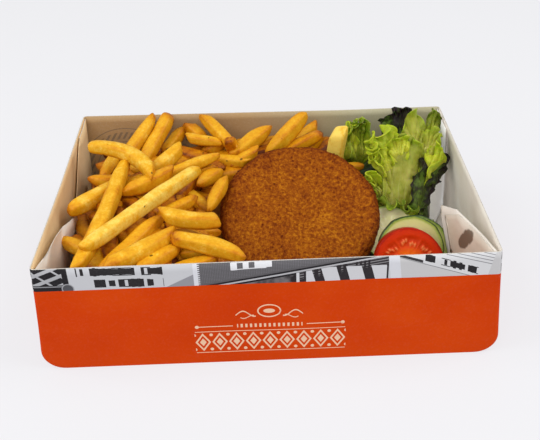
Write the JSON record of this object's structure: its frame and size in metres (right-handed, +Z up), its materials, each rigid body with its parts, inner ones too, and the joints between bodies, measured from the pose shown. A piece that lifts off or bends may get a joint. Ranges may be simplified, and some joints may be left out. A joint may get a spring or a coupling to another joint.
{
  "type": "fish and chips in tray",
  "caption": "Round breaded fish patty leaning on chips with lettuce, cucumber and tomato slices, in a printed oblong board tray with loose corner webs.",
  "frame": {"origin": "centre of the underside of the tray's base", "axes": "+Z up, +X along the tray's long side towards the salad, -Y towards the printed front wall"},
  "size_m": [0.26, 0.175, 0.0821],
  "materials": {
    "tray": "printed folded board, satin outside, bare inside",
    "chips": "fried potato, slightly oily",
    "patty": "fried breadcrumb, rough",
    "lettuce": "fresh leaf, slightly waxy",
    "cucumber": "moist cut flesh with green rind",
    "tomato": "moist cut flesh"
  },
  "bodies": {
    "root": {"tray": "tray", "chips": "chips", "patty": "patty", "lettuce": "lettuce", "cucumber_front": "cucumber", "cucumber_behind": "cucumber", "cucumber_back": "cucumber", "tomato": "tomato"}
  },
  "joints": []
}
